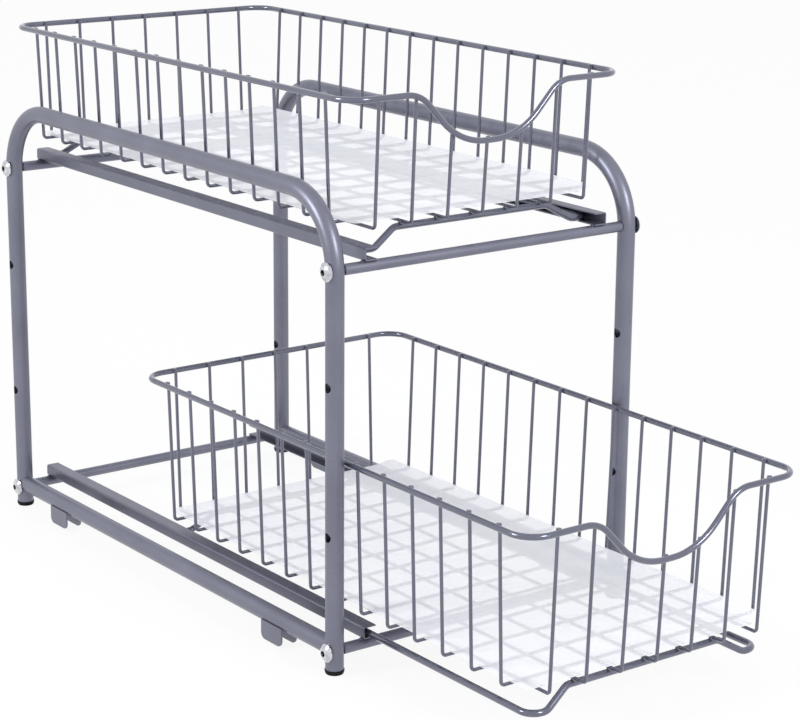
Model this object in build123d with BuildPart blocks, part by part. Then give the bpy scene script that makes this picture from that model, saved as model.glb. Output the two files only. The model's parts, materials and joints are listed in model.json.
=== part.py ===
from build123d import *
import math
import os

os.makedirs("parts", exist_ok=True)

# Two tier under sink organizer. X runs across, Y runs from the open front to the
# back and Z is up, with the feet on Z = 0. The upper basket is pushed home and
# the lower basket is pulled out.

# Stand: two side frames of round tube, bolted to four cross rods
leg_spacing_deep = 437.5
frame_top_over_rod = 54.4
tube_diameter = 12.7
tube_wall = 1.0
top_bend_radius = 50.0
side_tube_height = 18.3
lower_rod_height = 16.0
tier_spacing = 262.0
spare_hole_shares = (0.311, 0.704)
spare_hole_diameter = 6.6
rod_diameter = 7.6
rod_end_chamfer = 0.4

# Rails: folded channels that lie on the rods, open to the inside
rail_side_play = 1.7
rail_height = 8.8
rail_flange = 10.0
rail_wall = 0.9
rail_past_rods = 3.0
rail_bend_radius = 1.6

# Bolts, feet and clips
bolt_diameter = 4.8
bolt_length = 27.0
bolt_head_diameter = 13.0
bolt_head_height = 3.6
bolt_head_rim = 0.7
hex_across_flats = 4.0
hex_depth = 2.2
bolt_hole_diameter = 5.6
foot_thickness = 2.0
foot_edge_radius = 1.0
foot_plug_length = 12.0
clip_length = 25.0
clip_wall = 1.2
clip_inner_width = 10.8
clip_ground_gap = 1.5
clip_corner_radius = 4.5
clip_seat_rise = 3.2
rear_clip_from_middle = 151.5
front_clip_from_middle = 151.5

# Baskets: bent wires on a rim, and a runner frame below
rim_past_runner = 17.5
rim_leg_gap = 1.05
rim_deep = 450.0
rim_corner_radius = 17.0
rim_wire_diameter = 4.2
grid_wire_diameter = 2.4
runner_wire_diameter = 4.8
side_flare = 3.5
end_flare = 4.0
grid_bend_radius = 3.0
wire_tip_drop = 0.4
grid_pitch = 29.85
upper_rim_over_rod = 109.0
lower_rim_over_rod = 130.5
rear_overhang = 11.0
dip_top_width = 118.0
dip_bottom_width = 51.0
dip_depth = 35.5
dip_shoulder_radius = 24.0
dip_bottom_radius = 50.0
runner_spacing = 197.0
runner_corner_radius = 10.0
bar_behind_wires = 11.8
bar_behind_corners = 4.5
bar_rise = 11.3
rise_start_inset = 13.5
rise_end_inset = 33.0
rise_bend_radius = 10.0
pull_out = 186.5

# Liners: frosted sheets on the basket floors, with the right edge curled up
liner_thickness = 0.6
liner_left_margin = 5.5
liner_right_margin = 3.0
liner_front_margin = 4.5
liner_rear_margin = 4.0
liner_curl_width = 18.0
liner_curl_rise = 3.0
liner_corner_radius = 6.0

# Clearances
weld_clearance = 0.05
end_clearance = 0.1
running_clearance = 0.3
plug_clearance = 0.2
thread_clearance = 0.1
cut_overrun = 1.0
match_tolerance = 0.05

# Places that follow from the sizes above: the rim stands outside the runners, and
# the legs clear the rim
rim_across = runner_spacing + 2 * rim_past_runner
leg_spacing_across = rim_across + rim_wire_diameter + tube_diameter + 2 * rim_leg_gap
leg_x = leg_spacing_across / 2
leg_y = leg_spacing_deep / 2
tube_radius = tube_diameter / 2
tube_bore_radius = tube_radius - tube_wall
rod_radius = rod_diameter / 2
upper_rod_height = lower_rod_height + tier_spacing
stand_height = upper_rod_height + frame_top_over_rod
rim_radius = rim_wire_diameter / 2
grid_radius = grid_wire_diameter / 2
runner_radius = runner_wire_diameter / 2
rim_half_across = rim_across / 2
rim_half_deep = rim_deep / 2

# In the rest pose the whole object, pulled basket included, is centred on Y = 0
back_limit = leg_y + rear_overhang + rim_radius
front_limit = leg_y + rear_overhang - rim_deep - pull_out - rim_radius
stand_middle_y = -(back_limit + front_limit) / 2
closed_basket_y = stand_middle_y + leg_y + rear_overhang - rim_half_deep
pulled_basket_y = closed_basket_y - pull_out
leg_top_z = foot_thickness + weld_clearance
rail_outer_x = runner_spacing / 2 + runner_radius + rail_side_play + rail_wall


def bent_wire(corners, radii, wire_radius, closed=False):
    """One round wire along straight runs joined by bends of the given radii."""
    with BuildPart() as wire:
        with BuildLine() as route:
            FilletPolyline(*corners, radius=radii, close=closed)
        with BuildSketch(Plane(origin=route.line @ 0, z_dir=route.line % 0)):
            Circle(wire_radius)
        sweep(path=route.line)
    return wire.part


# Side frames: one tube bent to an arch, drilled for the bolts and spare holes
def side_frame(side):
    """An inverted U of tube on the given side, -1 for left and 1 for right."""
    frame_x = side * leg_x
    back_y = stand_middle_y + leg_y
    front_y = stand_middle_y - leg_y
    top_z = stand_height - tube_radius
    hole_heights = [
        lower_rod_height,
        *[lower_rod_height + share * tier_spacing for share in spare_hole_shares],
        upper_rod_height,
    ]
    drills = [
        bolt_hole_diameter,
        spare_hole_diameter,
        spare_hole_diameter,
        bolt_hole_diameter,
    ]
    with BuildPart() as frame:
        with BuildLine() as route:
            FilletPolyline(
                (frame_x, front_y, leg_top_z),
                (frame_x, front_y, top_z),
                (frame_x, back_y, top_z),
                (frame_x, back_y, leg_top_z),
                radius=top_bend_radius,
            )
        with BuildSketch(Plane(origin=route.line @ 0, z_dir=route.line % 0)):
            Circle(tube_radius)
            Circle(tube_bore_radius, mode=Mode.SUBTRACT)
        sweep(path=route.line)
        for height, drill in zip(hole_heights, drills):
            with BuildSketch(Plane.YZ.offset(frame_x)):
                with Locations((front_y, height), (back_y, height)):
                    Circle(drill / 2)
            extrude(amount=tube_diameter, both=True, mode=Mode.SUBTRACT)
    return frame.part


left_side_frame = side_frame(-1)
left_side_frame.label = "left_side_frame"
right_side_frame = side_frame(1)
right_side_frame.label = "right_side_frame"


# Lower side tubes: they run between the legs, with ends notched round them
def lower_tube(side):
    """The tube low down between the two legs of one side frame."""
    with BuildPart() as tube:
        with BuildSketch(Plane.XZ.offset(-stand_middle_y)):
            with Locations((side * leg_x, side_tube_height)):
                Circle(tube_radius)
                Circle(tube_bore_radius, mode=Mode.SUBTRACT)
        extrude(amount=leg_y, both=True)
        with BuildSketch(Plane.XY):
            with Locations(
                (side * leg_x, stand_middle_y - leg_y),
                (side * leg_x, stand_middle_y + leg_y),
            ):
                Circle(tube_radius + weld_clearance)
        extrude(amount=side_tube_height + tube_diameter, mode=Mode.SUBTRACT)
        with BuildSketch(Plane.YZ.offset(side * leg_x)):
            with Locations(
                (stand_middle_y - leg_y, lower_rod_height),
                (stand_middle_y + leg_y, lower_rod_height),
            ):
                Circle(bolt_hole_diameter / 2)
        extrude(amount=tube_diameter, both=True, mode=Mode.SUBTRACT)
    return tube.part


left_lower_tube = lower_tube(-1)
left_lower_tube.label = "left_lower_tube"
right_lower_tube = lower_tube(1)
right_lower_tube.label = "right_lower_tube"


# Clips: saddles under the lower tubes, with two rounded flaps that hang down
def floor_clip(side, middle_y):
    """A saddle clip seated on the underside of one lower tube."""
    clip_x = side * leg_x
    flap_outer = clip_inner_width / 2 + clip_wall
    clip_top = side_tube_height - tube_radius + clip_seat_rise
    clip_height = clip_top - clip_ground_gap
    web_bottom = side_tube_height - tube_radius - weld_clearance - clip_wall
    slot_height = web_bottom - clip_ground_gap
    with BuildPart() as clip:
        with BuildSketch(Plane.XZ.offset(-middle_y)):
            with Locations((clip_x, clip_ground_gap)):
                Rectangle(2 * flap_outer, clip_height, align=(Align.CENTER, Align.MIN))
                Rectangle(
                    clip_inner_width,
                    slot_height,
                    align=(Align.CENTER, Align.MIN),
                    mode=Mode.SUBTRACT,
                )
            with Locations((clip_x, side_tube_height)):
                Circle(tube_radius + weld_clearance, mode=Mode.SUBTRACT)
        extrude(amount=clip_length / 2, both=True)
        flap_corners = clip.edges().filter_by(Axis.X).group_by(Axis.Z)[0]
        fillet(flap_corners, clip_corner_radius)
    return clip.part


front_clip_y = stand_middle_y - front_clip_from_middle
rear_clip_y = stand_middle_y + rear_clip_from_middle
left_front_clip = floor_clip(-1, front_clip_y)
left_front_clip.label = "left_front_clip"
left_rear_clip = floor_clip(-1, rear_clip_y)
left_rear_clip.label = "left_rear_clip"
right_front_clip = floor_clip(1, front_clip_y)
right_front_clip.label = "right_front_clip"
right_rear_clip = floor_clip(1, rear_clip_y)
right_rear_clip.label = "right_rear_clip"


# Cross rods: round bars between the frames, tapped at both ends
def cross_rod(rod_y, rod_z):
    """A rod from leg to leg, with a bore in each end for its bolt."""
    rod_end = leg_x - tube_radius - end_clearance
    shank_end = leg_x + tube_radius + weld_clearance - bolt_length
    bore_depth = rod_end - shank_end + cut_overrun
    with BuildPart() as rod:
        with BuildSketch(Plane.YZ):
            with Locations((rod_y, rod_z)):
                Circle(rod_radius)
        extrude(amount=rod_end, both=True)
        for end in (-1, 1):
            with BuildSketch(Plane.YZ.offset(end * rod_end)):
                with Locations((rod_y, rod_z)):
                    Circle(bolt_diameter / 2 + thread_clearance)
            extrude(amount=-end * bore_depth, mode=Mode.SUBTRACT)
        rod_rims = rod.edges().filter_by(GeomType.CIRCLE).group_by(SortBy.RADIUS)[-1]
        chamfer(rod_rims, rod_end_chamfer)
    return rod.part


front_y = stand_middle_y - leg_y
rear_y = stand_middle_y + leg_y
upper_front_rod = cross_rod(front_y, upper_rod_height)
upper_front_rod.label = "upper_front_rod"
upper_rear_rod = cross_rod(rear_y, upper_rod_height)
upper_rear_rod.label = "upper_rear_rod"
lower_front_rod = cross_rod(front_y, lower_rod_height)
lower_front_rod.label = "lower_front_rod"
lower_rear_rod = cross_rod(rear_y, lower_rod_height)
lower_rear_rod.label = "lower_rear_rod"


# Rails: channels that lie across the front and rear rods of each tier
def slide_rail(side, rod_z):
    """A channel with its web outside and its two flanges pointing inwards."""
    rail_bottom = rod_z + rod_radius + weld_clearance
    rail_length = leg_spacing_deep + 2 * rail_past_rods
    web_x = side * rail_outer_x
    tip_x = side * (rail_outer_x - rail_flange)
    inner_web_x = side * (rail_outer_x - rail_wall)
    rail_top = rail_bottom + rail_height
    with BuildPart() as rail:
        with BuildSketch(Plane.XZ.offset(-stand_middle_y)) as section:
            with BuildLine():
                Polyline(
                    (tip_x, rail_bottom),
                    (web_x, rail_bottom),
                    (web_x, rail_top),
                    (tip_x, rail_top),
                    (tip_x, rail_top - rail_wall),
                    (inner_web_x, rail_top - rail_wall),
                    (inner_web_x, rail_bottom + rail_wall),
                    (tip_x, rail_bottom + rail_wall),
                    close=True,
                )
            make_face()
            by_side = section.vertices().group_by(Axis.X)
            fillet(by_side[-1 if side > 0 else 0], rail_bend_radius)
            inner_corners = section.vertices().filter_by(
                lambda v: rail_bottom + match_tolerance < v.Z < rail_top - match_tolerance
                and abs(v.X - inner_web_x) < match_tolerance
            )
            fillet(inner_corners, rail_bend_radius - rail_wall)
        extrude(amount=rail_length / 2, both=True)
    return rail.part


upper_left_rail = slide_rail(-1, upper_rod_height)
upper_left_rail.label = "upper_left_rail"
upper_right_rail = slide_rail(1, upper_rod_height)
upper_right_rail.label = "upper_right_rail"
lower_left_rail = slide_rail(-1, lower_rod_height)
lower_left_rail.label = "lower_left_rail"
lower_right_rail = slide_rail(1, lower_rod_height)
lower_right_rail.label = "lower_right_rail"


# Feet: caps with a plug that goes up inside each leg
def foot_cap(side, foot_y):
    """A turned cap with rounded lower edge and a plug inside the tube."""
    plug_radius = tube_bore_radius - plug_clearance
    with BuildPart() as cap:
        with BuildSketch(Plane.XY):
            with Locations((side * leg_x, foot_y)):
                Circle(tube_radius)
        extrude(amount=foot_thickness)
        fillet(cap.edges().group_by(Axis.Z)[0], foot_edge_radius)
        with BuildSketch(Plane.XY.offset(foot_thickness)):
            with Locations((side * leg_x, foot_y)):
                Circle(plug_radius)
        extrude(amount=foot_plug_length - foot_thickness)
        chamfer(cap.edges().group_by(Axis.Z)[-1], plug_clearance)
    return cap.part


left_front_foot = foot_cap(-1, front_y)
left_front_foot.label = "left_front_foot"
left_rear_foot = foot_cap(-1, rear_y)
left_rear_foot.label = "left_rear_foot"
right_front_foot = foot_cap(1, front_y)
right_front_foot.label = "right_front_foot"
right_rear_foot = foot_cap(1, rear_y)
right_rear_foot.label = "right_rear_foot"

# Bolts: domed heads with a hex socket, eight alike, through the legs into the rods
seat_x = leg_x + tube_radius + weld_clearance
dome_radius = bolt_head_diameter / 2
with BuildPart() as bolt:
    with BuildSketch(Plane.XZ):
        with BuildLine():
            Line((0, 0), (0, bolt_head_height))
            TangentArc(
                (0, bolt_head_height),
                (dome_radius, bolt_head_rim),
                tangent=(1, 0),
            )
            Line((dome_radius, bolt_head_rim), (dome_radius, 0))
            Line((dome_radius, 0), (0, 0))
        make_face()
    revolve(axis=Axis.Z)
    with BuildSketch(Plane.XY.offset(bolt_head_height - hex_depth)):
        RegularPolygon(hex_across_flats / 2, 6, major_radius=False)
    extrude(amount=hex_depth + cut_overrun, mode=Mode.SUBTRACT)
    with BuildSketch(Plane.XY):
        Circle(bolt_diameter / 2)
    extrude(amount=-bolt_length)

with BuildPart() as frame_bolts:
    for side in (-1, 1):
        for bolt_y in (front_y, rear_y):
            for bolt_z in (lower_rod_height, upper_rod_height):
                with Locations(
                    Plane(
                        origin=(side * seat_x, bolt_y, bolt_z),
                        x_dir=(0, 1, 0),
                        z_dir=(side, 0, 0),
                    )
                ):
                    add(bolt.part)
frame_bolts.part.label = "frame_bolts"

stand_pieces = [
    left_side_frame,
    right_side_frame,
    left_lower_tube,
    right_lower_tube,
    left_front_clip,
    left_rear_clip,
    right_front_clip,
    right_rear_clip,
    upper_front_rod,
    upper_rear_rod,
    lower_front_rod,
    lower_rear_rod,
    upper_left_rail,
    upper_right_rail,
    lower_left_rail,
    lower_right_rail,
    left_front_foot,
    left_rear_foot,
    right_front_foot,
    right_rear_foot,
    frame_bolts.part,
]

# Sizes that both baskets share
wall_top_x = rim_half_across - rim_radius - grid_radius - weld_clearance
wall_top_y = rim_half_deep - rim_radius - grid_radius - weld_clearance
floor_x = wall_top_x - side_flare
floor_y = wall_top_y - end_flare

# As many floor wires as fit between the walls, with one long wire in the middle
outermost_cross_wire = floor_y - grid_bend_radius - grid_wire_diameter
outermost_long_wire = floor_x - grid_bend_radius - grid_wire_diameter
cross_wire_count = 2 * round(outermost_cross_wire / grid_pitch)
long_wire_count = 2 * int(outermost_long_wire / grid_pitch) + 1
cross_places = [
    (row - (cross_wire_count - 1) / 2) * grid_pitch for row in range(cross_wire_count)
]
long_places = [
    (column - (long_wire_count - 1) / 2) * grid_pitch for column in range(long_wire_count)
]
dip_slope = dip_depth / ((dip_top_width - dip_bottom_width) / 2)
dip_angle = math.atan(dip_slope)


def dip_fall(across):
    """How far the rim has dropped at a distance across from the middle."""
    shoulder_reach = dip_shoulder_radius * math.tan(dip_angle / 2)
    bottom_reach = dip_bottom_radius * math.tan(dip_angle / 2)
    past_shoulder = dip_top_width / 2 + shoulder_reach - abs(across)
    past_bottom = abs(across) - dip_bottom_width / 2 + bottom_reach
    if past_shoulder <= 0:
        return 0
    if past_bottom <= 0:
        return dip_depth
    if past_shoulder < dip_shoulder_radius * math.sin(dip_angle):
        return dip_shoulder_radius - math.sqrt(dip_shoulder_radius**2 - past_shoulder**2)
    if past_bottom < dip_bottom_radius * math.sin(dip_angle):
        rise = dip_bottom_radius - math.sqrt(dip_bottom_radius**2 - past_bottom**2)
        return dip_depth - rise
    return (dip_top_width / 2 - abs(across)) * dip_slope


# Rims: one thick wire round the top, with a hand dip at the front
def basket_rim(basket_y, rim_z):
    """The closed rim wire of one basket."""
    back = basket_y + rim_half_deep
    front = basket_y - rim_half_deep
    dip_z = rim_z - dip_depth
    corners = [
        (-rim_half_across, back, rim_z),
        (-rim_half_across, front, rim_z),
        (-dip_top_width / 2, front, rim_z),
        (-dip_bottom_width / 2, front, dip_z),
        (dip_bottom_width / 2, front, dip_z),
        (dip_top_width / 2, front, rim_z),
        (rim_half_across, front, rim_z),
        (rim_half_across, back, rim_z),
    ]
    radii = [
        rim_corner_radius,
        rim_corner_radius,
        dip_shoulder_radius,
        dip_bottom_radius,
        dip_bottom_radius,
        dip_shoulder_radius,
        rim_corner_radius,
        rim_corner_radius,
    ]
    return bent_wire(corners, radii, rim_radius, closed=True)


# Cross wires: each is a U from the left rim under the floor to the right rim
def cross_wires(basket_y, floor_z, rim_z):
    """All the cross wires of one basket, one solid each."""
    tip_z = rim_z + rim_radius - wire_tip_drop
    one_wire = bent_wire(
        [
            (-wall_top_x, basket_y, tip_z),
            (-floor_x, basket_y, floor_z),
            (floor_x, basket_y, floor_z),
            (wall_top_x, basket_y, tip_z),
        ],
        grid_bend_radius,
        grid_radius,
    )
    with BuildPart() as wires:
        with Locations(*[(0, place, 0) for place in cross_places]):
            add(one_wire)
    return wires.part


# Long wires: each is a U from the front rim under the floor to the rear rim
def long_wires(basket_y, floor_z, rim_z):
    """All the long wires of one basket; the middle ones stop at the dip."""
    with BuildPart() as wires:
        for place in long_places:
            rear_tip = rim_z + rim_radius - wire_tip_drop
            front_tip = rear_tip - dip_fall(abs(place) - rim_radius - grid_radius)
            add(
                bent_wire(
                    [
                        (place, basket_y - wall_top_y, front_tip),
                        (place, basket_y - floor_y, floor_z),
                        (place, basket_y + floor_y, floor_z),
                        (place, basket_y + wall_top_y, rear_tip),
                    ],
                    grid_bend_radius,
                    grid_radius,
                )
            )
    return wires.part


# Slide frames: one thick wire whose long sides run in the rails and whose ends
# rise and step back from the corners to carry the floor wires
def slide_frame(basket_y, runner_z):
    """The closed runner frame of one basket."""
    runner_x = runner_spacing / 2
    bar_y = floor_y - bar_behind_wires
    bar_z = runner_z + bar_rise
    corners = []
    for end in (-1, 1):
        end_y = basket_y + end * bar_y
        corner_y = end_y + end * bar_behind_corners
        half = [
            (-runner_x, corner_y, runner_z),
            (rise_start_inset - runner_x, corner_y, runner_z),
            (rise_end_inset - runner_x, end_y, bar_z),
            (runner_x - rise_end_inset, end_y, bar_z),
            (runner_x - rise_start_inset, corner_y, runner_z),
            (runner_x, corner_y, runner_z),
        ]
        corners += half if end < 0 else half[::-1]
    radii = [
        runner_corner_radius,
        rise_bend_radius,
        rise_bend_radius,
        rise_bend_radius,
        rise_bend_radius,
        runner_corner_radius,
    ]
    return bent_wire(corners, radii + radii, runner_radius, closed=True)


# Liners: a thin sheet on the floor wires, its right edge curled up a little
def liner(basket_y, floor_z):
    """The sheet on one basket's floor, cut a little short of its walls."""
    sheet_z = floor_z + grid_radius + weld_clearance
    top_z = sheet_z + liner_thickness
    left_x = liner_left_margin + grid_radius - floor_x
    right_x = floor_x - grid_radius - liner_right_margin
    front_edge = basket_y - floor_y + grid_radius + liner_front_margin
    rear_edge = basket_y + floor_y - grid_radius - liner_rear_margin
    curl_start = right_x - liner_curl_width
    past_left = left_x - cut_overrun
    past_right = right_x + cut_overrun
    middle_x = (left_x + right_x) / 2
    middle_y = (front_edge + rear_edge) / 2
    with BuildPart() as sheet:
        with BuildSketch(Plane.XZ.offset(-middle_y)):
            with BuildLine():
                Line((past_left, sheet_z), (curl_start, sheet_z))
                TangentArc(
                    (curl_start, sheet_z),
                    (past_right, sheet_z + liner_curl_rise),
                    tangent=(1, 0),
                )
                Line(
                    (past_right, sheet_z + liner_curl_rise),
                    (past_right, top_z + liner_curl_rise),
                )
                TangentArc(
                    (curl_start, top_z),
                    (past_right, top_z + liner_curl_rise),
                    tangent=(1, 0),
                )
                Line((curl_start, top_z), (past_left, top_z))
                Line((past_left, top_z), (past_left, sheet_z))
            make_face()
        extrude(amount=(rear_edge - front_edge) / 2 + cut_overrun, both=True)
        with BuildSketch(Plane.XY.offset(sheet_z - cut_overrun)):
            with Locations((middle_x, middle_y)):
                RectangleRounded(right_x - left_x, rear_edge - front_edge, liner_corner_radius)
        extrude(
            amount=cut_overrun + liner_curl_rise + liner_thickness + cut_overrun,
            mode=Mode.INTERSECT,
        )
    return sheet.part


# Each tier: its rods' height gives the runners, the floor grid and the rim
def basket(name, basket_y, rod_z, rim_over_rod):
    """The five pieces of one basket, named after its tier."""
    runner_z = rod_z + rod_radius + weld_clearance + rail_wall + running_clearance + runner_radius
    long_z = runner_z + bar_rise + runner_radius + weld_clearance + grid_radius
    cross_z = long_z + grid_wire_diameter + weld_clearance
    rim_z = rod_z + rim_over_rod
    pieces = {
        "rim": basket_rim(basket_y, rim_z),
        "cross_wires": cross_wires(basket_y, cross_z, rim_z),
        "long_wires": long_wires(basket_y, long_z, rim_z),
        "slide_frame": slide_frame(basket_y, runner_z),
        "liner": liner(basket_y, cross_z),
    }
    for piece_name, piece in pieces.items():
        piece.label = name + "_" + piece_name
    return list(pieces.values())


upper_basket = basket("upper", closed_basket_y, upper_rod_height, upper_rim_over_rod)
lower_basket = basket("lower", pulled_basket_y, lower_rod_height, lower_rim_over_rod)

for piece in stand_pieces + upper_basket + lower_basket:
    export_step(piece, "parts/" + piece.label + ".step")
    box = piece.bounding_box()
    print(piece.label, len(piece.solids()), [round(v, 1) for v in (*box.min, *box.max)])
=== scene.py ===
# %% [markdown]
# # A two tier under sink organizer
# The frame of this object is already exact: tubes, rods, rails, bent wires and liners
# come from CAD. Here they get their finishes, and the small things that CAD leaves out:
# the spots of weld where wires and rails meet, and the collars of the feet.

import math

import bpy
from mathutils import Matrix, Vector
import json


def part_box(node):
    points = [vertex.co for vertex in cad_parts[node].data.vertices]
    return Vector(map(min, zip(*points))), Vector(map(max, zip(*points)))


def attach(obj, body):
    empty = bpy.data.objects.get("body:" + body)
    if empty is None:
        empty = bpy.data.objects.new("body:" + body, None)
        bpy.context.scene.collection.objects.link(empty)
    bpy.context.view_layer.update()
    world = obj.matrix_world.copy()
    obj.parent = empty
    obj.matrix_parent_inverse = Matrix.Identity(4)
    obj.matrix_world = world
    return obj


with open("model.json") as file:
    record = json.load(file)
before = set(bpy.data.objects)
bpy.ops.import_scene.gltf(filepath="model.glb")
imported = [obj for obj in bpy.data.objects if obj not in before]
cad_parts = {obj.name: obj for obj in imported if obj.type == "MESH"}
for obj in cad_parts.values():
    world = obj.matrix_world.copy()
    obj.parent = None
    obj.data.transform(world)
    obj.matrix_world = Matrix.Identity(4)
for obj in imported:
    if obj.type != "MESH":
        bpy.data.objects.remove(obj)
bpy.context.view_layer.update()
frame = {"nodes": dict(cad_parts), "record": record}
nodes = frame["nodes"]
bpy.ops.object.select_all(action="DESELECT")
print("nodes loaded:", len(nodes))

# %% [markdown]
# ## Powder coat
# The tubes, rails and wires are steel with a satin blue grey powder coat. A real coat
# is melted powder, so it has a very fine orange peel and faint clouds of lighter and
# darker colour. It could be a plain grey, but then the long tubes look like plastic.
# Fine noise drives the bump, a broad noise shifts the colour by up to a tenth, and a
# very fine one adds the speckle of the metal flakes in the powder.

# %% Helpers for noise driven materials
# The Mix node has sockets for numbers, vectors and colours. These are the factor's and
# the ones for colours.
mix_factor, mix_first, mix_second, mix_result = 0, 6, 7, 2
skin_detail = 3


def new_material(name):
    """A node material with its tree and its Principled shader."""
    material = bpy.data.materials.new(name)
    material.use_nodes = True
    tree = material.node_tree
    return material, tree, tree.nodes["Principled BSDF"]


def noise(tree, scale, detail):
    """A noise that follows the object's own coordinates."""
    place = tree.nodes.new("ShaderNodeTexCoord")
    cloud = tree.nodes.new("ShaderNodeTexNoise")
    cloud.inputs["Scale"].default_value = scale
    cloud.inputs["Detail"].default_value = detail
    tree.links.new(place.outputs["Object"], cloud.inputs["Vector"])
    return cloud.outputs["Fac"]


def two_tone(tree, factor, dark, light, low=0.3, high=0.7):
    """A colour that goes from dark to light as the factor rises from low to high."""
    ramp = tree.nodes.new("ShaderNodeValToRGB")
    ramp.color_ramp.elements[0].position = low
    ramp.color_ramp.elements[0].color = (*dark, 1)
    ramp.color_ramp.elements[1].position = high
    ramp.color_ramp.elements[1].color = (*light, 1)
    tree.links.new(factor, ramp.inputs["Fac"])
    return ramp.outputs["Color"]


def multiply(tree, first, second):
    """One colour darkened by another."""
    product = tree.nodes.new("ShaderNodeMix")
    product.data_type = "RGBA"
    product.blend_type = "MULTIPLY"
    product.inputs[mix_factor].default_value = 1
    tree.links.new(first, product.inputs[mix_first])
    tree.links.new(second, product.inputs[mix_second])
    return product.outputs[mix_result]


def rough_skin(tree, shader, scale, height, strength):
    """A fine bump on the shader's surface, its height in metres."""
    bump = tree.nodes.new("ShaderNodeBump")
    bump.inputs["Strength"].default_value = strength
    bump.inputs["Distance"].default_value = height
    tree.links.new(noise(tree, scale, skin_detail), bump.inputs["Height"])
    tree.links.new(bump.outputs["Normal"], shader.inputs["Normal"])


# %% [markdown]
# ### One recipe, three shades
# A Principled shader at 70 percent metal gives the soft sheen of metal flakes. Full
# metal would mirror the room, and none would look like chalk. Over it lies the clear,
# melted skin of the powder, as the shader's own coat. The tubes, the rolled rails and
# the thin wires share the recipe. The wires are darker and have a glossier skin, so
# that the light gathers into a bright streak along them.

# %% Powder coat, in three close shades
metal_share = 0.7
flake_dark = (0.92, 0.92, 0.92)
flake_light = (1, 1, 1)


def powder_coat(name, dark, light, roughness, gloss, gloss_roughness):
    """A satin metallic powder coat under a clear, glossier skin."""
    material, tree, shader = new_material(name)
    shader.inputs["Metallic"].default_value = metal_share
    shader.inputs["Roughness"].default_value = roughness
    shader.inputs["Coat Weight"].default_value = gloss
    shader.inputs["Coat Roughness"].default_value = gloss_roughness
    clouds = two_tone(tree, noise(tree, scale=24, detail=4), dark, light)
    flakes = noise(tree, scale=1100, detail=1)
    speckle = two_tone(tree, flakes, flake_dark, flake_light, low=0.35, high=0.65)
    tree.links.new(multiply(tree, clouds, speckle), shader.inputs["Base Color"])
    rough_skin(tree, shader, scale=1400, height=0.00004, strength=0.15)
    return material


tube_coat = powder_coat(
    "tube_coat",
    dark=(0.168, 0.172, 0.223),
    light=(0.202, 0.206, 0.265),
    roughness=0.4,
    gloss=0.25,
    gloss_roughness=0.28,
)
rail_coat = powder_coat(
    "rail_coat",
    dark=(0.158, 0.162, 0.209),
    light=(0.19, 0.194, 0.25),
    roughness=0.4,
    gloss=0.15,
    gloss_roughness=0.28,
)
wire_coat = powder_coat(
    "wire_coat",
    dark=(0.117, 0.123, 0.168),
    light=(0.146, 0.153, 0.208),
    roughness=0.22,
    gloss=0.8,
    gloss_roughness=0.08,
)
print("powder coats:", tube_coat.name, rail_coat.name, wire_coat.name)

# %% [markdown]
# ## Chrome bolts and black feet
# The bolt heads are bright plated, with faint polishing marks. Little light gets into
# their hex sockets, so painted shade darkens the plating there almost to black: the
# colour falls off where the surface is shut in. The feet are moulded plastic, dull and
# nearly black, and slightly grained so that they don't read as a hole.

# %% Chrome and moulded plastic
bolt_chrome, tree, shader = new_material("bolt_chrome")
shader.inputs["Metallic"].default_value = 1.0
shader.inputs["Roughness"].default_value = 0.12
polish = noise(tree, scale=300, detail=2)
plating = two_tone(tree, polish, dark=(0.5, 0.5, 0.53), light=(0.74, 0.74, 0.78))
# Painted shade: an occlusion mask darkens the plating to near black in the hex sockets
# and other shut-in hollows of the bolts.
shut_in = tree.nodes.new("ShaderNodeAmbientOcclusion")
shut_in.only_local = True
shut_in.samples = 8
shut_in.inputs["Distance"].default_value = 0.0018
painted_socket_shade = two_tone(
    tree,
    shut_in.outputs["AO"],
    dark=(0.015, 0.015, 0.017),
    light=(1, 1, 1),
    low=0.5,
    high=0.98,
)
tree.links.new(multiply(tree, plating, painted_socket_shade), shader.inputs["Base Color"])
rough_skin(tree, shader, scale=900, height=0.00002, strength=0.2)

foot_plastic, tree, shader = new_material("foot_plastic")
shader.inputs["Roughness"].default_value = 0.6
shader.inputs["Specular IOR Level"].default_value = 0.12
mottle = noise(tree, scale=500, detail=3)
black = two_tone(tree, mottle, dark=(0.006, 0.006, 0.007), light=(0.014, 0.014, 0.015))
tree.links.new(black, shader.inputs["Base Color"])
rough_skin(tree, shader, scale=1800, height=0.00005, strength=0.4)
print("bolts and feet finished")

# %% [markdown]
# ## Frosted liner
# Each liner is a thin frosted sheet, laid on the floor wires. It is almost white, and
# the wires touching it from below show through only as faint lines. Clear plastic
# would show them sharply and white paint would hide them, so the sheet is a rough
# plastic that lets a little under half of what is behind it through, evenly.

# %% Frosted sheet
liner_sheet, tree, shader = new_material("liner_sheet")
shader.inputs["Roughness"].default_value = 0.55
shader.inputs["Alpha"].default_value = 0.55
haze = noise(tree, scale=18, detail=3)
frost = two_tone(tree, haze, dark=(0.925, 0.935, 0.985), light=(0.965, 0.97, 0.99))
tree.links.new(frost, shader.inputs["Base Color"])
rough_skin(tree, shader, scale=700, height=0.00005, strength=0.3)
print("liner finished")

# %% [markdown]
# ## Finishes onto the CAD parts
# The record that comes with the frame says which finish each part has. The parts' own
# material slots are emptied and filled from that list, so no part is missed and no
# mesh is touched.

# %% Give every CAD node its finish
finishes = {
    "tube_coat": tube_coat,
    "rail_coat": rail_coat,
    "wire_coat": wire_coat,
    "bolt_chrome": bolt_chrome,
    "foot_plastic": foot_plastic,
    "liner_sheet": liner_sheet,
}
for part in frame["record"]["subparts"]:
    piece = nodes[part["node"]]
    piece.data.materials.clear()
    piece.data.materials.append(finishes[part["material_slot"]])

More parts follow.
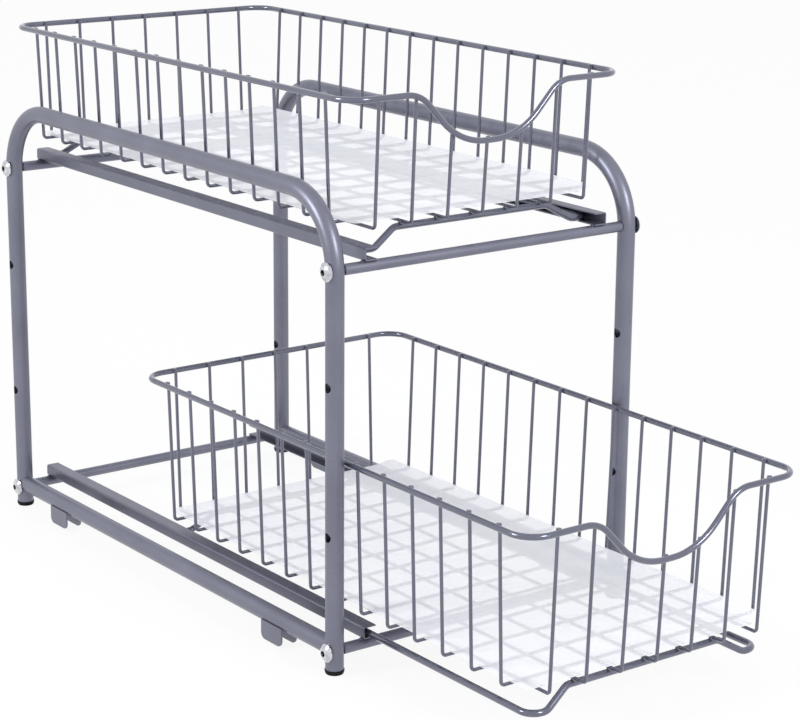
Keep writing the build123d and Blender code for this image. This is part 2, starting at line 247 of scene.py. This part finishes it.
# %% [markdown]
# ## Weld spots
# A wire basket is held together by many small resistance welds, and each one
# squeezes out a little flattened bead of steel. A plain ball would look stuck on. So
# one bead starts as a short cylinder lying on the joint, its ends are drawn in and its
# rim is bevelled, and then it is copied to every joint.

# %% One bead
bead_sides = 10
nearly_level = 0.9
bead_smooth_angle = 40


def make_bead(radius):
    """A small flattened bead of weld at the origin, its flat sides up and down."""
    depth = 1.7 * radius
    draw_in = radius / 3
    edge_round = radius / 5
    bpy.ops.mesh.primitive_cylinder_add(vertices=bead_sides, radius=radius, depth=depth)
    bead = bpy.context.object
    bpy.ops.object.mode_set(mode="EDIT")
    bpy.ops.mesh.select_mode(type="FACE")
    bpy.ops.mesh.select_all(action="DESELECT")
    bpy.ops.object.mode_set(mode="OBJECT")
    for face in bead.data.polygons:
        face.select = abs(face.normal.z) > nearly_level
    bpy.ops.object.mode_set(mode="EDIT")
    bpy.ops.mesh.inset(thickness=draw_in)
    bpy.ops.mesh.select_all(action="SELECT")
    bpy.ops.mesh.bevel(offset=edge_round, segments=1, affect="EDGES")
    bpy.ops.object.mode_set(mode="OBJECT")
    return bead


def weld_beads(name, places, radius, body, coat):
    """A bead at each place, joined into one piece that rides on the body."""
    bpy.ops.object.select_all(action="DESELECT")
    first = make_bead(radius)
    first.location = places[0]
    copies = [first]
    for place in places[1:]:
        twin = first.copy()
        twin.data = first.data.copy()
        twin.location = place
        bpy.context.scene.collection.objects.link(twin)
        copies.append(twin)
    bpy.ops.object.select_all(action="DESELECT")
    for bead in copies:
        bead.select_set(True)
    bpy.context.view_layer.objects.active = first
    bpy.ops.object.join()
    first.name = name
    bpy.ops.object.transform_apply(location=True, rotation=True, scale=True)
    bpy.ops.object.shade_smooth_by_angle(angle=math.radians(bead_smooth_angle))
    first.data.materials.append(coat)
    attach(first, body)
    bpy.ops.object.select_all(action="DESELECT")
    print(name, "beads:", len(places), "faces:", len(first.data.polygons))


# %% [markdown]
# ### Beads where the uprights meet the rim
# Each upright ends against the inside of the rim. Their heights at the hand dip differ,
# so there the height is read from the wires themselves.

# %% Beads around each rim
grid_pitch = 0.02985
rim_wire = 0.0042
upright_wire = 0.0024
cross_count = 14
long_count = 7
small_bead = 0.0015
seam_below_rim_top = 0.0012
seam_past_rim_wire = 0.0002
bead_below_end = 0.0008


def wire_rows(count, middle):
    """Evenly spaced places of a row of wires around its middle."""
    return [middle + (index - (count - 1) / 2) * grid_pitch for index in range(count)]


def rim_joints(basket):
    """Where the uprights meet one basket's rim, at the height where each wire ends."""
    low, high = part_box(basket + "_rim")
    seam_z = high.z - seam_below_rim_top
    side_x = high.x - rim_wire - seam_past_rim_wire
    back_y = high.y - rim_wire - seam_past_rim_wire
    front_y = low.y + rim_wire + seam_past_rim_wire
    places = []
    for y in wire_rows(cross_count, (low.y + high.y) / 2):
        places += [(-side_x, y, seam_z), (side_x, y, seam_z)]
    points = [v.co for v in nodes[basket + "_long_wires"].data.vertices]
    front_points = [p for p in points if p.y < front_y + upright_wire]
    for x in wire_rows(long_count, 0):
        places.append((x, back_y, seam_z))
        front_end = max(p.z for p in front_points if abs(p.x - x) < upright_wire)
        places.append((x, front_y, front_end - bead_below_end))
    return places


for basket in ("upper", "lower"):
    weld_beads(
        basket + "_weld_spots",
        rim_joints(basket),
        small_bead,
        basket + "_basket",
        wire_coat,
    )

# %% [markdown]
# ### Beads in the floor grid
# The cross wires lie on the long wires, and the long wires lie on the raised bars of
# the slide frame. Every crossing in the floor is a weld, and so is every place where a
# long wire meets a level stretch of a bar. They are easy to see from below, and at the
# front, where the bar passes under the ends of the long wires.

# %% Beads at the crossings
bar_wire = 0.0048
bar_behind_corners = 0.0045
large_bead = 0.002


def grid_joints(basket):
    """Where the floor wires cross each other."""
    low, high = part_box(basket + "_cross_wires")
    rows = wire_rows(cross_count, (low.y + high.y) / 2)
    return [(x, y, low.z) for x in wire_rows(long_count, 0) for y in rows]


def bar_joints(basket):
    """Where all but the outermost two long wires cross the raised bars."""
    low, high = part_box(basket + "_slide_frame")
    inset = bar_behind_corners + bar_wire / 2
    columns = wire_rows(long_count - 2, 0)
    return [(x, y, high.z) for x in columns for y in (low.y + inset, high.y - inset)]


for basket in ("upper", "lower"):
    for name, places, radius in (
        (basket + "_grid_welds", grid_joints(basket), small_bead),
        (basket + "_bar_welds", bar_joints(basket), large_bead),
    ):
        weld_beads(name, places, radius, basket + "_basket", wire_coat)

# %% [markdown]
# ### Beads where the rails lie on the rods
# Each rail crosses one rod at the front and one at the back, with a spot of weld on
# both sides of the rail. They sit just below the rail's edge, clear of the slide frame
# that passes over them.

# %% Beads under the rails
bead_drop = 0.0009


def rail_joints(tier):
    """Both edges of both rails of a tier, on top of its two rods."""
    places = []
    for end in ("front", "rear"):
        low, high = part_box(tier + "_" + end + "_rod")
        rod_y = (low.y + high.y) / 2
        for side in ("left", "right"):
            rail_low, rail_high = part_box(tier + "_" + side + "_rail")
            bead_z = rail_low.z - bead_drop
            places += [(x, rod_y, bead_z) for x in (rail_low.x, rail_high.x)]
    return places


rail_places = rail_joints("upper") + rail_joints("lower")
weld_beads("rail_welds", rail_places, small_bead, "stand", rail_coat)

# %% [markdown]
# ## Collars of the feet
# A plastic cap is pushed over the end of each leg, and its thin collar shows as a
# black band above the floor. It could be a plain ring, but a moulded edge is never
# sharp, so an open cylinder gets its wall from Solidify and its edges from Bevel.

# %% Four foot collars
leg_radius = 0.00635
leg_clearance = 0.00002
collar_bottom = 0.0018
collar_top = 0.0034
collar_sides = 48
collar_smooth_angle = 35


def foot_collar(foot):
    """The collar of one foot cap, around the end of its leg."""
    low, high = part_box(foot)
    middle_z = (collar_bottom + collar_top) / 2
    middle = ((low.x + high.x) / 2, (low.y + high.y) / 2, middle_z)
    bpy.ops.object.select_all(action="DESELECT")
    bpy.ops.mesh.primitive_cylinder_add(
        vertices=collar_sides,
        radius=leg_radius + leg_clearance,
        depth=collar_top - collar_bottom,
        end_fill_type="NOTHING",
        location=middle,
    )
    collar = bpy.context.object
    collar.name = foot.replace("_foot", "_foot_collar")
    bpy.ops.object.transform_apply(location=True, rotation=True, scale=True)
    wall = collar.modifiers.new("wall", "SOLIDIFY")
    wall.thickness = 0.0004
    wall.offset = 1
    bpy.ops.object.modifier_apply(modifier="wall")
    edges = collar.modifiers.new("edges", "BEVEL")
    edges.width = 0.00012
    edges.segments = 2
    bpy.ops.object.modifier_apply(modifier="edges")
    bpy.ops.object.shade_smooth_by_angle(angle=math.radians(collar_smooth_angle))
    collar.data.materials.append(foot_plastic)
    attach(collar, "stand")
    bpy.ops.object.select_all(action="DESELECT")
    print(collar.name, [round(v, 4) for v in middle])


for side in ("left", "right"):
    for end in ("front", "rear"):
        foot_collar(side + "_" + end + "_foot")

# %% [markdown]
# ## Floor, background and light
# The organizer stands on a plain white floor. To the camera nine tenths of it is plain
# white, so that the page stays white. The last tenth is lit like any surface, and that
# keeps the soft shadow under the organizer.

# %% Floor
plain_white_share = 0.9


def seen_share(tree):
    """One for what is seen directly, in the metal or through a sheet, else zero."""
    path = tree.nodes.new("ShaderNodeLightPath")
    share = path.outputs["Is Camera Ray"]
    for ray in ("Is Glossy Ray", "Is Transmission Ray"):
        larger = tree.nodes.new("ShaderNodeMath")
        larger.operation = "MAXIMUM"
        tree.links.new(share, larger.inputs[0])
        tree.links.new(path.outputs[ray], larger.inputs[1])
        share = larger.outputs[0]
    return share


bpy.ops.mesh.primitive_plane_add(size=60, location=(0, 0, 0))
floor = bpy.context.object
floor.name = "floor"
white_floor, tree, shader = new_material("white_floor")
shader.inputs["Base Color"].default_value = (0.9, 0.9, 0.9, 1)
shader.inputs["Roughness"].default_value = 0.9
glow = tree.nodes.new("ShaderNodeEmission")
glow.inputs["Color"].default_value = (1, 1, 1, 1)
part_of = tree.nodes.new("ShaderNodeMath")
part_of.operation = "MULTIPLY"
part_of.inputs[1].default_value = plain_white_share
tree.links.new(seen_share(tree), part_of.inputs[0])
blend = tree.nodes.new("ShaderNodeMixShader")
tree.links.new(part_of.outputs[0], blend.inputs["Fac"])
tree.links.new(shader.outputs[0], blend.inputs[1])
tree.links.new(glow.outputs[0], blend.inputs[2])
tree.links.new(blend.outputs[0], tree.nodes["Material Output"].inputs["Surface"])
floor.data.materials.append(white_floor)
bpy.ops.object.select_all(action="DESELECT")

# %% [markdown]
# ### Light
# A product like this is photographed in a white tent. An even sky does most of the
# work, so that the sheets stay light under the upper basket too. Two lamps, each about
# as wide as the organizer is long, stand to the left and in front and give the tubes
# their roundness. Small lamps would print hard shadows of the wires on the sheets.
# Seen directly or in the metal, the sky is plain white, like the floor.

# %% Sky and soft lamps
world = bpy.data.worlds.new("studio")
bpy.context.scene.world = world
world.use_nodes = True
tree = world.node_tree
sky = tree.nodes["Background"]
sky.inputs["Color"].default_value = (0.97, 0.975, 1.0, 1)
strength = tree.nodes.new("ShaderNodeMapRange")
strength.inputs["To Min"].default_value = 0.8
strength.inputs["To Max"].default_value = 1
tree.links.new(seen_share(tree), strength.inputs["Value"])
tree.links.new(strength.outputs["Result"], sky.inputs["Strength"])


def soft_lamp(name, place, target, width, power):
    """A square lamp that points at the target."""
    bpy.ops.object.light_add(type="AREA", location=place)
    lamp = bpy.context.object
    lamp.name = name
    lamp.data.shape = "SQUARE"
    lamp.data.size = width
    lamp.data.energy = power
    aim = Vector(target) - Vector(place)
    lamp.rotation_euler = aim.to_track_quat("-Z", "Y").to_euler()
    print(name, power, "W")


target = (0, 0, 0.2)
soft_lamp("left_light", (-2.1, 0.5, 1.3), target, width=0.7, power=25)
soft_lamp("front_light", (0.3, -2.2, 1.4), target, width=0.7, power=27)

# %% [markdown]
# ## Camera
# The photograph was taken with a long lens from the front left, a little above. The
# camera stands where a fit to the photograph put it.

# %% Camera
camera_place = Vector((-0.9913, -1.3616, 0.6269))
turn = math.radians(36.727)
tilt = math.radians(15.166)
roll = math.radians(0.471)
across = math.cos(tilt)
ahead = Vector((across * math.sin(turn), across * math.cos(turn), -math.sin(tilt)))
level = Vector((math.cos(turn), -math.sin(turn), 0))
rise = level.cross(ahead)
right = math.cos(roll) * level + math.sin(roll) * rise
up = math.cos(roll) * rise - math.sin(roll) * level
facing = Matrix((right, up, -ahead)).transposed().to_4x4()
bpy.ops.object.camera_add(location=camera_place)
camera = bpy.context.object
camera.name = "camera"
camera.data.sensor_width = 36
camera.data.lens = 107.87
camera.data.clip_start = 0.05
camera.data.clip_end = 200
camera.matrix_world = Matrix.Translation(camera_place) @ facing
bpy.context.scene.camera = camera
bpy.context.scene.view_settings.view_transform = "Standard"
print("camera lens:", camera.data.lens)

# %% [markdown]
# ## The beads and the box
# The beads rise a tenth of a millimetre above the rim, so they add no more than that
# to the box of the CAD parts.

# %% End of the script
import json
